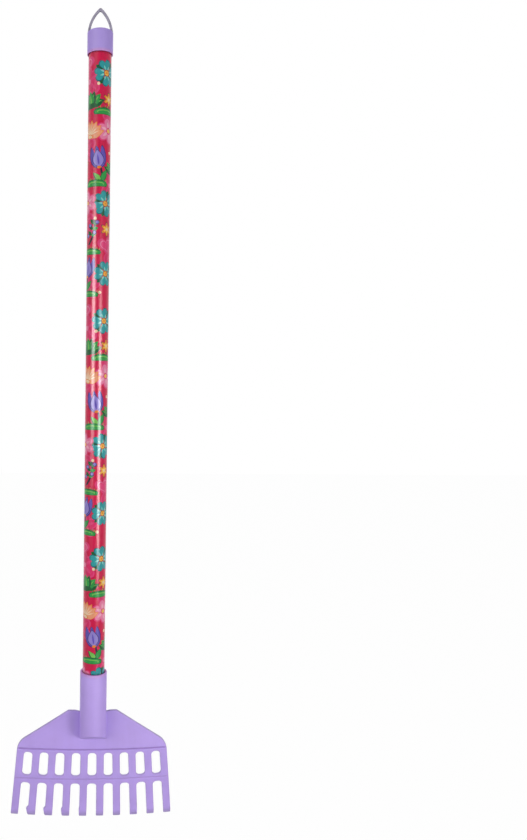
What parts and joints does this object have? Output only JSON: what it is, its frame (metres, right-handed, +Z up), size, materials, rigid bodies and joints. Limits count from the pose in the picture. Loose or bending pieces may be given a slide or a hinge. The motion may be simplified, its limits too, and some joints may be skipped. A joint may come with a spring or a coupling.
{
  "type": "sand rake",
  "caption": "Long-handled child's sand rake: bowed plastic head with a slotted band and hooked tines, socketed on a film-printed tube handle that ends in a hanging cap.",
  "frame": {"origin": "the point inside the hanging loop where a hook or nail carries the rake, on the handle's axis", "axes": "+Z up along the handle from the tines to the loop, -Y is the front with the socket, +Y is the back that the tines hook towards, +X to the right seen from the front"},
  "size_m": [0.168, 0.0428, 0.8075],
  "materials": {
    "lilac_moulding": "satin injection-moulded polypropylene, lilac",
    "tube_metal": "thin rolled steel tube, bright",
    "printed_film": null,
    "lilac_cap": "satin injection-moulded polypropylene, lilac",
    "screw_metal": "bright zinc plate"
  },
  "bodies": {
    "root": {"rake_head": "lilac_moulding", "handle_tube": "tube_metal", "printed_sleeve": "printed_film", "end_cap": "lilac_cap", "fixing_screw": "screw_metal"}
  },
  "joints": []
}
